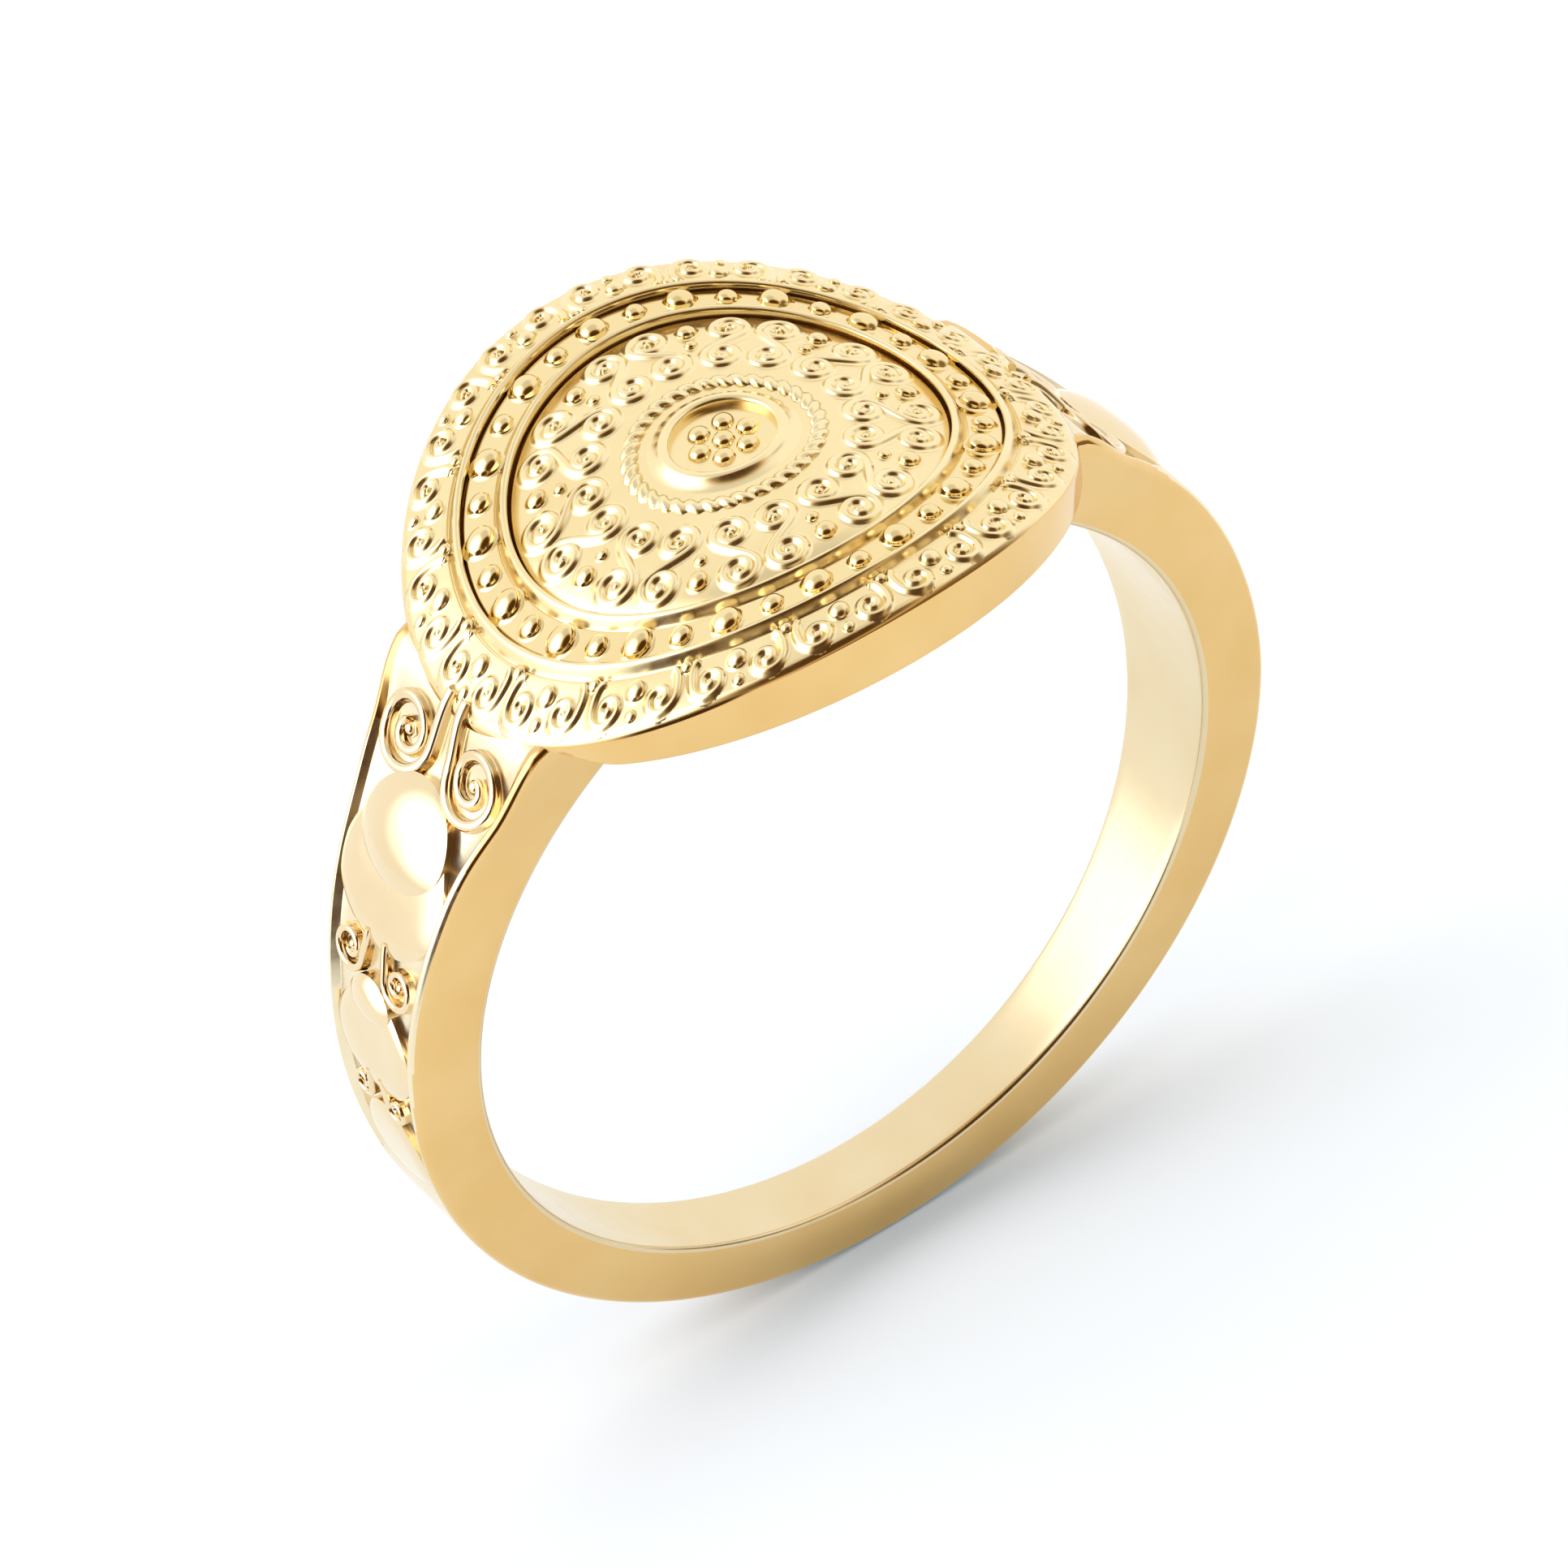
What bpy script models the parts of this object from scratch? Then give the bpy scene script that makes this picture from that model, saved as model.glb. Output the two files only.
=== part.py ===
"""Gold signet ring: a tapering band with scrolled shoulders and an oval medallion.

The origin is the centre of the finger bore. X runs across the shoulders, Y along the finger,
and Z up through the medallion. All lengths are in metres.
"""

from math import asin, cos, pi, radians, sin, sqrt, tan, tau

import bmesh
import bpy
from mathutils import Vector

MM = 0.001

# Band
BORE_RADIUS = 8.6 * MM
BAND_WIDTH_BOTTOM = 1.50 * MM
BAND_WIDTH_MIDDLE = 2.82 * MM
BAND_WIDTH_TOP = 4.56 * MM
BAND_THICK_BOTTOM = 1.36 * MM
BAND_THICK_MIDDLE = 1.54 * MM
BAND_THICK_SHOULDER = 1.72 * MM
BAND_THICK_TOP = 0.60 * MM
BAND_CHAMFER = 0.08 * MM
RAIL_WIDTH = 0.20 * MM
PANEL_DEPTH = 0.12 * MM

# Medallion
MEDALLION_LENGTH = 13.50 * MM
MEDALLION_WIDTH = 12.16 * MM
CROWN_RADIUS = 10.66 * MM
BELLY_RADIUS = 17.84 * MM
HEAD_THICK = 1.46 * MM
EDGE_ROUND = 0.10 * MM

# Rings on the medallion from its edge inwards, as widths and radii along Y
BORDER_WIDTH = 0.86 * MM
RIM_WIRE = 0.24 * MM
CHANNEL_WIDTH = 0.60 * MM
ROPE_RADIUS = 1.81 * MM
ROPE_WIRE = 0.36 * MM
ROPE_GROOVE = 0.035 * MM
CUP_RADIUS = 1.24 * MM
CUP_HEIGHT = 0.29 * MM
CUP_RIM = 0.26 * MM
CUP_FLOOR = 0.06 * MM

# Strips, granules and wires
STRIP_THICK = 0.08 * MM
CHANNEL_SMALL_BEAD = 0.42 * MM
BORDER_BEAD = 0.38 * MM
BORDER_WIRE = 0.14 * MM
FIELD_WIRE = 0.15 * MM
FIELD_LARGE_GRANULE = 0.40 * MM
FIELD_SMALL_GRANULE = 0.26 * MM
GRANULE_FUSE = 0.11 * MM
ROSETTE_BEAD = 0.34 * MM
SHOULDER_WIRE = 0.26 * MM

# Petals, row by row from the medallion down
INNER_PETAL_1_LENGTH = 1.70 * MM
INNER_PETAL_2_LENGTH = 0.62 * MM
OUTER_PETAL_1_LENGTH = 3.15 * MM
OUTER_PETAL_2_LENGTH = 2.30 * MM
OUTER_PETAL_3_LENGTH = 1.90 * MM
INNER_PETAL_HEIGHT = 0.40 * MM
OUTER_PETAL_HEIGHT = 0.18 * MM
PETAL_EDGE = 0.09 * MM
PETAL_SIDE = 0.17 * MM

# Clearances: the solder seam under a piece, and the space between two ornaments
SEAM = 0.03 * MM
GAP = 0.06 * MM

# Counts
BORDER_REPEATS = 18
CHANNEL_PAIRS = 17
FIELD_REPEATS = 9
ROPE_NOTCHES = 48
ROSETTE_RING = 6
RING_STEPS = 48
BAND_STEPS = 72
PANEL_STEPS = 40
PETAL_STEPS = 12
FIELD_CURL_STEPS = 10
SHOULDER_CURL_STEPS = 14

# Where the loops of the medallion's mesh lie, as shares of a radius
BELLY_SHARES = (0, 0.25, 0.5, 0.75, 1)
TABLE_SHARES = (1, 0.8, 0.6, 0.4, 0.2, 0)

# Share of the half panel that each row's volutes take, and the most of a volute that its wire takes
VOLUTE_SHARES = (0.43, 0.37, 0.30)
SHOULDER_WIRE_SHARE = 0.33
FIELD_WIRE_SHARE = 0.37

# Volutes: turns of the wire, the power by which it winds in, the eye's radius in wire diameters,
# and how much the wire thins
SHOULDER_TURNS = 1.2
FIELD_TURNS = 1.1
VOLUTE_POWER = 1.5
VOLUTE_EYE = 0.8
VOLUTE_TAPER = 0.35

# A border volute's offset from its bead, as a share of one repeat
BORDER_SPREAD = 0.27

# Sizes that follow from the driving ones
STRETCH = MEDALLION_LENGTH / MEDALLION_WIDTH
EDGE_RADIUS = MEDALLION_WIDTH / 2
BELLY_HEIGHT = BORE_RADIUS + BAND_THICK_TOP
TABLE_HEIGHT = BELLY_HEIGHT + HEAD_THICK
SEAT = TABLE_HEIGHT + SEAM
BORDER_OUTER = EDGE_RADIUS - EDGE_ROUND
BORDER_INNER = BORDER_OUTER - BORDER_WIDTH
OUTER_RIM_RADIUS = BORDER_INNER - SEAM - RIM_WIRE / 2
CHANNEL_OUTER = OUTER_RIM_RADIUS - RIM_WIRE / 2 - SEAM
CHANNEL_INNER = CHANNEL_OUTER - CHANNEL_WIDTH
INNER_RIM_RADIUS = CHANNEL_INNER - SEAM - RIM_WIRE / 2
CHANNEL_LARGE_BEAD = CHANNEL_WIDTH - 2 * SEAM
FIELD_OUTER = INNER_RIM_RADIUS - RIM_WIRE / 2 - GAP
FIELD_INNER = ROPE_RADIUS + ROPE_WIRE / 2 + GAP
SHOULDER_ANGLE = asin(MEDALLION_LENGTH / 2 / (BORE_RADIUS + BAND_THICK_SHOULDER))
SHOULDER_COS = cos(SHOULDER_ANGLE)
INNER_PETAL_LENGTHS = (INNER_PETAL_1_LENGTH, INNER_PETAL_2_LENGTH)
OUTER_PETAL_LENGTHS = (OUTER_PETAL_1_LENGTH, OUTER_PETAL_2_LENGTH, OUTER_PETAL_3_LENGTH)


def clear_scene():
    for thing in list(bpy.data.objects):
        bpy.data.objects.remove(thing)


def gold(name, colour, roughness):
    finish = bpy.data.materials.new(name)
    finish.use_nodes = True
    shader = finish.node_tree.nodes["Principled BSDF"]
    shader.inputs["Base Color"].default_value = (*colour, 1)
    shader.inputs["Metallic"].default_value = 1
    shader.inputs["Roughness"].default_value = roughness
    return finish


# The object tree


def place(name, data, finish):
    """An object on the ring's own empty, with its finish."""
    thing = bpy.data.objects.new(name, data)
    bpy.context.collection.objects.link(thing)
    data.materials.append(finish)
    thing.parent = bpy.data.objects["ring"]
    return thing


def place_mesh(name, shape, finish):
    """Turns a bmesh into a smooth-shaded object with its faces pointing out."""
    bmesh.ops.remove_doubles(shape, verts=shape.verts, dist=1e-5 * MM)
    bmesh.ops.recalc_face_normals(shape, faces=shape.faces)
    mesh = bpy.data.meshes.new(name)
    shape.to_mesh(mesh)
    shape.free()
    mesh.shade_smooth()
    mesh.set_sharp_from_angle(angle=radians(40))
    return place(name, mesh, finish)


def place_wire(name, path, diameter, finish, ring=False, swell=None, sides=4):
    """A round wire along a path, thicker or thinner where swell says so."""
    curve = bpy.data.curves.new(name, "CURVE")
    curve.dimensions = "3D"
    curve.bevel_depth = diameter / 2
    curve.bevel_resolution = (sides - 4) // 2
    curve.use_fill_caps = not ring
    spline = curve.splines.new("POLY")
    spline.points.add(len(path) - 1)
    for i, (point, co) in enumerate(zip(spline.points, path)):
        point.co = (*co, 1)
        point.radius = swell(i) if swell else 1
    spline.use_cyclic_u = ring
    return place(name, curve, finish)


def as_tool(tool):
    """Keeps a cutter, or a shape that a union takes in, out of the assembly."""
    tool.hide_render = True
    tool.display_type = "WIRE"
    return tool


def combine(thing, tool, operation):
    change = thing.modifiers.new(tool.name, "BOOLEAN")
    change.operation = operation
    change.object = as_tool(tool)


# Shapes that several pieces share


def skin(rows):
    """A closed body through rows that have equally many points, capped at both ends."""
    shape = bmesh.new()
    loops = [[shape.verts.new(point) for point in row] for row in rows]
    for here, there in zip(loops, loops[1:]):
        for i in range(len(here)):
            j = i - 1
            shape.faces.new((here[j], here[i], there[i], there[j]))
    shape.faces.new(loops[0])
    shape.faces.new(loops[-1])
    return shape


def turned(outline, steps, angle=tau):
    """An outline of (radius, height) turned about Z from the -Y side through +X."""
    shape = bmesh.new()
    corners = [shape.verts.new((0, -radius, height)) for radius, height in outline]
    if angle < tau:
        geometry = [shape.faces.new(corners)]
    else:
        edges = [shape.edges.new(pair) for pair in zip(corners, corners[1:] + corners[:1])]
        geometry = corners + edges
    bmesh.ops.spin(
        shape, geom=geometry, cent=(0, 0, 0), axis=(0, 0, 1), angle=angle, steps=steps,
        use_merge=angle == tau,
    )
    return shape


def add_granule(shape, foot, diameter):
    """A granule that has sunk into its solder to the middle: a dome on a flat foot."""
    ball = bmesh.ops.create_uvsphere(shape, u_segments=8, v_segments=4, radius=diameter / 2)["verts"]
    lower = [vertex for vertex in ball if vertex.co.z < -diameter / 8]
    dome = [vertex for vertex in ball if vertex not in lower]
    foot_edge = [edge for vertex in dome for edge in vertex.link_edges if edge.other_vert(vertex) in lower]
    waist = [vertex for edge in foot_edge for vertex in edge.verts if vertex in dome]
    bmesh.ops.delete(shape, geom=lower, context="VERTS")
    bmesh.ops.contextual_create(shape, geom=waist)
    bmesh.ops.translate(shape, verts=dome, vec=foot)


def spiral(centre, outer, inner, start, turns, points):
    """Points in a plane that wind in, slowly at first; negative turns wind clockwise."""
    path = []
    for i in range(points):
        share = i / (points - 1)
        radius = outer + (inner - outer) * share**VOLUTE_POWER
        angle = start + tau * turns * share
        path.append((centre[0] + radius * cos(angle), centre[1] + radius * sin(angle)))
    return path


def ease(start, end, points):
    """A double bend from start to end that leaves and arrives along the second axis."""
    path = []
    for i in range(1, points + 1):
        share = i / (points + 1)
        across = share * share * (3 - 2 * share)
        path.append((start[0] + (end[0] - start[0]) * across, start[1] + (end[1] - start[1]) * share))
    return path


# The medallion's surface


def crown(x):
    """How far the medallion's top falls at a distance x from its middle."""
    return sqrt(CROWN_RADIUS**2 - x * x) - CROWN_RADIUS


def on_medallion(radius, angle, height):
    x = STRETCH * radius * cos(angle)
    return Vector((x, radius * sin(angle), height + crown(x)))


def drape(shape):
    """Stretches a turned shape to the oval and bends it over the crown."""
    for vertex in shape.verts:
        vertex.co.x *= STRETCH
        vertex.co.z += crown(vertex.co.x)


def oval_block(outline, drop=0):
    """An oval of the medallion's proportions: height 0 means its hollow belly, the rest is crowned."""
    shape = turned(outline, RING_STEPS)
    for vertex in shape.verts:
        vertex.co.x *= STRETCH
        if vertex.co.z == 0:
            vertex.co.z = BELLY_HEIGHT - drop + sqrt(BELLY_RADIUS**2 - vertex.co.x**2) - BELLY_RADIUS
        else:
            vertex.co.z += crown(vertex.co.x)
    return shape


# The band's surface


def half_width(z):
    """Half the band's width at a height, through its three stated widths."""
    slope = (BAND_WIDTH_TOP - BAND_WIDTH_BOTTOM) / (4 * BORE_RADIUS)
    bow = ((BAND_WIDTH_TOP + BAND_WIDTH_BOTTOM) / 2 - BAND_WIDTH_MIDDLE) / (2 * BORE_RADIUS**2)
    return BAND_WIDTH_MIDDLE / 2 + slope * z + bow * z * z


def band_radius(angle):
    """The band's outer radius at an angle from the top, through its three thicknesses."""
    rise = BAND_THICK_SHOULDER - BAND_THICK_MIDDLE
    fall = BAND_THICK_MIDDLE - BAND_THICK_BOTTOM
    square = (rise - fall * SHOULDER_COS) / (SHOULDER_COS + SHOULDER_COS**2)
    line = square + fall
    return BORE_RADIUS + BAND_THICK_MIDDLE + line * cos(angle) + square * cos(angle) ** 2


def panel_angle(down):
    """The angle at a distance down the shoulder from the medallion's end."""
    return SHOULDER_ANGLE + down / (BORE_RADIUS + BAND_THICK_MIDDLE)


def panel_half(down):
    """Half the width of the sunk panel between its rails."""
    angle = panel_angle(down)
    return half_width((band_radius(angle) - PANEL_DEPTH) * cos(angle)) - RAIL_WIDTH


def on_shoulder(side, down, across, height):
    """A point above the panel's floor; side is -1 on the left and 1 on the right."""
    angle = panel_angle(down)
    radius = band_radius(angle) - PANEL_DEPTH + height
    return Vector((side * radius * sin(angle), across, radius * cos(angle)))


def panel_rows():
    """Each row of shoulder ornament: its top, its volutes' radius, and its petals' top and tip."""
    rows = []
    top = GAP
    for share, length in zip(VOLUTE_SHARES, OUTER_PETAL_LENGTHS):
        radius = panel_half(top) * share - GAP
        petal_top = top + 2 * radius + GAP
        rows.append((top, radius, petal_top, petal_top + length))
        top = petal_top + length + GAP
    return rows


# Band


def make_band(finish):
    rows = []
    for i in range(BAND_STEPS + 1):
        angle = pi * (2 * i / BAND_STEPS - 1)
        outer = band_radius(angle)
        row = []
        corners = ((BORE_RADIUS, 0), (outer - BAND_CHAMFER, 0), (outer, BAND_CHAMFER))
        for radius, inset in corners:
            half = half_width(radius * cos(angle)) - inset
            row.append((radius * sin(angle), half, radius * cos(angle)))
        row += [(x, -y, z) for x, y, z in reversed(row)]
        rows.append(row)
    shape = skin(rows)
    caps = [face for face in shape.faces if len(face.verts) > 4]
    bmesh.ops.delete(shape, geom=caps, context="FACES_ONLY")
    band = place_mesh("shank", shape, finish)
    combine(band, make_head_cutter(finish), "DIFFERENCE")
    for side in (-1, 1):
        combine(band, make_panel_cutter(side, finish), "DIFFERENCE")


def make_head_cutter(finish):
    """The seat of the head, with the solder seam, in the top of the band."""
    reach = EDGE_RADIUS + SEAM
    above = 2 * BORE_RADIUS
    outline = [(reach * share, 0) for share in BELLY_SHARES] + [(reach, above), (0, above)]
    return place_mesh("head_cutter", oval_block(outline, SEAM), finish)


def make_panel_cutter(side, finish):
    """The sunk panel of one shoulder, from inside the head to a rounded end."""
    end = panel_rows()[-1][3] + GAP
    start = -MEDALLION_LENGTH / 6
    round_end = panel_half(end)
    ceiling = PANEL_DEPTH + RAIL_WIDTH
    rows = []
    for i in range(PANEL_STEPS):
        down = start + (end - start) * i / (PANEL_STEPS - 1)
        half = panel_half(down)
        past = (down - (end - round_end)) / (round_end + SEAM)
        if past > 0:
            half *= sqrt(1 - past * past)
        corners = ((-half, 0), (half, 0), (half, ceiling), (-half, ceiling))
        rows.append([on_shoulder(side, down, across, height) for across, height in corners])
    name = "left_panel_cutter" if side < 0 else "right_panel_cutter"
    return place_mesh(name, skin(rows), finish)


# Head and the rings on it


def make_head(finish):
    """An oval plate with a crowned top, a rounded edge and a flatter hollow below."""
    belly = [(EDGE_RADIUS * share, 0) for share in BELLY_SHARES]
    edge = [
        (BORDER_OUTER + EDGE_ROUND * cos(turn), TABLE_HEIGHT - EDGE_ROUND * (1 - sin(turn)))
        for turn in (0, pi / 4, pi / 2)
    ]
    table = [(OUTER_RIM_RADIUS * share, TABLE_HEIGHT) for share in TABLE_SHARES]
    place_mesh("medallion_base", oval_block(belly + edge + table), finish)


def make_rim_wire(name, radius, finish):
    path = [on_medallion(radius, tau * i / RING_STEPS, SEAT + RIM_WIRE / 2) for i in range(RING_STEPS)]
    place_wire(name, path, RIM_WIRE, finish, ring=True, sides=6)


def make_rope(finish):
    """A milled wire: thick and thin by turns."""
    points = 2 * ROPE_NOTCHES
    path = [on_medallion(ROPE_RADIUS, tau * i / points, SEAT + ROPE_WIRE / 2) for i in range(points)]
    thin = 1 - 2 * ROPE_GROOVE / ROPE_WIRE
    place_wire("rope_ring", path, ROPE_WIRE, finish, ring=True, swell=lambda i: (1, thin)[i % 2])


def make_bead_strip(finish):
    outline = (
        (CHANNEL_INNER, SEAT),
        (CHANNEL_OUTER, SEAT),
        (CHANNEL_OUTER, SEAT + STRIP_THICK),
        (CHANNEL_INNER, SEAT + STRIP_THICK),
    )
    shape = turned(outline, RING_STEPS)
    drape(shape)
    strip = place_mesh("bead_strip", shape, finish)
    beads = bmesh.new()
    middle = (CHANNEL_INNER + CHANNEL_OUTER) / 2
    for i in range(2 * CHANNEL_PAIRS):
        diameter = (CHANNEL_LARGE_BEAD, CHANNEL_SMALL_BEAD)[i % 2]
        angle = pi / 2 + pi * i / CHANNEL_PAIRS
        add_granule(beads, on_medallion(middle, angle, SEAT + STRIP_THICK / 2), diameter)
    combine(strip, place_mesh("channel_beads", beads, finish), "UNION")


def make_border(finish):
    """A strip round the edge that carries paired volutes with a bead between them."""
    top = SEAT + STRIP_THICK
    outline = (
        (BORDER_INNER, SEAT),
        (BORDER_OUTER, SEAT),
        (BORDER_OUTER - STRIP_THICK, top),
        (BORDER_INNER, top),
    )
    shape = turned(outline, RING_STEPS)
    drape(shape)
    strip = place_mesh("border_ring", shape, finish)
    middle = (BORDER_INNER + BORDER_OUTER - STRIP_THICK) / 2
    sector = tau / BORDER_REPEATS
    room = middle * sector - BORDER_BEAD
    volute = min(room / 4, (BORDER_OUTER - STRIP_THICK - BORDER_INNER) / 2) - GAP
    bead_radius = BORDER_INNER + BORDER_BEAD / 2 + GAP
    beads = bmesh.new()
    for i in range(BORDER_REPEATS):
        add_granule(beads, on_medallion(bead_radius, sector * i, SEAT + STRIP_THICK / 2), BORDER_BEAD)
        for side in (-1, 1):
            add_boss(beads, middle, sector * (i + side * BORDER_SPREAD), volute)
    combine(strip, place_mesh("border_scrolls", beads, finish), "UNION")


def add_boss(shape, radius, angle, reach):
    """A round boss that stands for one small volute, broad at its foot."""
    boss = bmesh.ops.create_cone(
        shape, cap_ends=True, segments=8, radius1=reach, radius2=reach / 2, depth=BORDER_WIRE
    )
    foot = SEAT + STRIP_THICK / 2 + BORDER_WIRE / 2
    for vertex in boss["verts"]:
        turn = angle + vertex.co.y / radius
        vertex.co = on_medallion(radius + vertex.co.x, turn, foot + vertex.co.z)


# Field of scrolls and granules


def field_scroll_path():
    """One S-scroll as (across, radius), with its wire: an outer volute, a double bend, an inner volute."""
    half_sector = pi / FIELD_REPEATS
    outer_room = FIELD_OUTER * tan(half_sector) - FIELD_LARGE_GRANULE / 2 - 2 * GAP
    outer = min(outer_room, (FIELD_OUTER - FIELD_INNER) / 2 - GAP) / 2
    outer = min(outer, (FIELD_OUTER - FIELD_INNER - GAP) / 4)
    inner_room = (FIELD_INNER + outer) * tan(half_sector) - GAP
    inner = min(outer, inner_room / 2 - GAP / 4)
    wire = min(FIELD_WIRE, inner * FIELD_WIRE_SHARE)
    first = (GAP / 2 + outer, FIELD_OUTER - outer)
    second = (GAP / 2 + inner, FIELD_INNER + inner)
    eye = wire * VOLUTE_EYE
    down = spiral(first, outer - wire / 2, eye, pi, -FIELD_TURNS, FIELD_CURL_STEPS)[::-1]
    up = spiral(second, inner - wire / 2, eye, 0, -FIELD_TURNS, FIELD_CURL_STEPS)
    return down + ease(down[-1], up[0], FIELD_CURL_STEPS // 3) + up, wire


def make_field_scrolls(finish):
    path, wire = field_scroll_path()
    for i in range(FIELD_REPEATS):
        axis = pi / 2 + tau * i / FIELD_REPEATS
        for letter, side in (("a", -1), ("b", 1)):
            points = []
            for across, out in path:
                radius = sqrt(across * across + out * out)
                angle = axis + side * asin(across / radius)
                points.append(on_medallion(radius, angle, SEAT + wire / 2))
            place_wire(f"field_scroll_{letter}{i + 1}", points, wire, finish)


def make_field_granules(finish):
    """A large granule by the inner rim and a small one fused to it, between each two scroll pairs."""
    large_at = FIELD_OUTER - FIELD_LARGE_GRANULE / 2 - GAP
    small_at = large_at - FIELD_LARGE_GRANULE / 2 - FIELD_SMALL_GRANULE / 2 + GRANULE_FUSE
    for i in range(FIELD_REPEATS):
        angle = pi / 2 + tau * (i + 0.5) / FIELD_REPEATS
        name = f"field_granules_{i + 1}"
        pieces = []
        for suffix, radius, diameter in (
            ("", large_at, FIELD_LARGE_GRANULE),
            ("_small", small_at, FIELD_SMALL_GRANULE),
        ):
            shape = bmesh.new()
            add_granule(shape, on_medallion(radius, angle, SEAT), diameter)
            pieces.append(place_mesh(name + suffix, shape, finish))
        combine(pieces[0], pieces[1], "UNION")


# Centre


def make_cup(finish):
    rim_top = SEAT + CUP_HEIGHT
    floor = SEAT + CUP_FLOOR
    well = CUP_RADIUS - CUP_RIM
    outline = (
        (0, SEAT),
        (CUP_RADIUS / 2, SEAT),
        (CUP_RADIUS, SEAT),
        (CUP_RADIUS, rim_top - CUP_RIM / 4),
        (CUP_RADIUS - CUP_RIM / 4, rim_top),
        (CUP_RADIUS - CUP_RIM * 3 / 4, rim_top),
        (well, rim_top - CUP_RIM / 4),
        (well, floor),
        (well / 2, floor),
        (0, floor),
    )
    shape = turned(outline, RING_STEPS // 2)
    drape(shape)
    place_mesh("centre_cup", shape, finish)


def make_rosette(finish):
    """One bead ringed by six, on a disc that drops into the cup."""
    bottom = SEAT + CUP_FLOOR + SEAM
    top = bottom + CUP_FLOOR
    reach = CUP_RADIUS - CUP_RIM - SEAM
    outline = ((0, bottom), (reach, bottom), (reach, top), (0, top))
    shape = turned(outline, RING_STEPS // 2)
    drape(shape)
    disc = place_mesh("centre_rosette", shape, finish)
    ring = min(ROSETTE_BEAD + GAP, reach - ROSETTE_BEAD / 2 - SEAM)
    bead = min(ROSETTE_BEAD, ring - SEAM)
    foot = (bottom + top) / 2
    beads = bmesh.new()
    add_granule(beads, on_medallion(0, 0, foot), bead)
    for i in range(ROSETTE_RING):
        add_granule(beads, on_medallion(ring, tau * i / ROSETTE_RING, foot), bead)
    combine(disc, place_mesh("rosette_beads", beads, finish), "UNION")


# Shoulder ornament


def make_volute(name, side, hand, row, finish):
    """A spiral wire whose stem runs down beside the middle before it curls out to the rail."""
    top, radius, _, _ = row
    wire = min(SHOULDER_WIRE, radius * SHOULDER_WIRE_SHARE)
    middle = (panel_half(top + 2 * radius) - GAP - radius, top + radius)
    curl = spiral(middle, radius - wire / 2, wire * VOLUTE_EYE, pi, -SHOULDER_TURNS, SHOULDER_CURL_STEPS)
    stem = [(curl[0][0], top + wire / 2), (curl[0][0], (top + wire / 2 + curl[0][1]) / 2)]
    taper = len(stem) + len(curl)
    path = [on_shoulder(side, down, hand * across, SEAM + wire / 2) for across, down in stem + curl]
    place_wire(name, path, wire, finish, swell=lambda i: 1 - VOLUTE_TAPER * i / taper)


def make_petal(name, side, top, inner, outer, heights, finish):
    """Half of an oval, or the crescent left outside a smaller one, bent round the band.

    inner and outer are (length, half width) and heights are those at the inner and outer edge.
    """
    shares = (0, 0.33, 0.67, 1)
    low, high = heights[1], heights[0]
    under = [(1 + share, SEAM) for share in shares]
    above = [(1 + share, SEAM + low + (high - low) * (1 - share * share)) for share in reversed(shares)]
    shape = turned(under + above, PETAL_STEPS, angle=pi)
    for vertex in shape.verts:
        reach = sqrt(vertex.co.x**2 + vertex.co.y**2)
        share = reach - 1
        length = inner[0] + (outer[0] - inner[0]) * share
        half = inner[1] + (outer[1] - inner[1]) * share
        down = top + length * vertex.co.x / reach
        vertex.co = on_shoulder(side, down, half * vertex.co.y / reach, vertex.co.z)
    place_mesh(name, shape, finish)


def make_shoulder(side, wire, petal):
    word = "left" if side < 0 else "right"
    whole = (0, 0)
    for i, row in enumerate(panel_rows()):
        _, _, top, tip = row
        for place_word, hand in (("near", -1), ("far", 1)):
            make_volute(f"{word}_volute_{place_word}_{i + 1}", side, hand, row, wire)
        outer = (tip - top, panel_half(top) - GAP)
        if i < len(INNER_PETAL_LENGTHS):
            inner = (INNER_PETAL_LENGTHS[i], outer[1] - PETAL_SIDE)
            dome = (INNER_PETAL_HEIGHT, PETAL_EDGE)
            make_petal(f"{word}_inner_petal_{i + 1}", side, top, whole, inner, dome, petal)
            hole = (inner[0] + SEAM, inner[1] + SEAM)
        else:
            hole = whole
        slope = (OUTER_PETAL_HEIGHT, PETAL_EDGE)
        make_petal(f"{word}_outer_petal_{i + 1}", side, top, hole, outer, slope, petal)


def main():
    clear_scene()
    ring = bpy.data.objects.new("ring", None)
    bpy.context.collection.objects.link(ring)
    polished = gold("polished gold band", (0.84, 0.60, 0.26), 0.10)
    head = gold("polished gold head", (0.86, 0.63, 0.29), 0.12)
    wire = gold("drawn gold wire", (0.88, 0.66, 0.32), 0.14)
    granule = gold("fused gold granules", (0.88, 0.66, 0.32), 0.10)
    petal = gold("burnished gold petals", (0.87, 0.64, 0.30), 0.16)
    make_band(polished)
    make_head(head)
    make_border(wire)
    make_rim_wire("outer_rim_wire", OUTER_RIM_RADIUS, wire)
    make_rim_wire("inner_rim_wire", INNER_RIM_RADIUS, wire)
    make_bead_strip(granule)
    make_field_scrolls(wire)
    make_field_granules(granule)
    make_rope(wire)
    make_cup(head)
    make_rosette(granule)
    for side in (-1, 1):
        make_shoulder(side, wire, petal)


main()
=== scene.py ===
from math import asin, atan2, cos, hypot, pi, radians, sin, sqrt, tau

import bpy
from mathutils import Matrix, Vector


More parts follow.
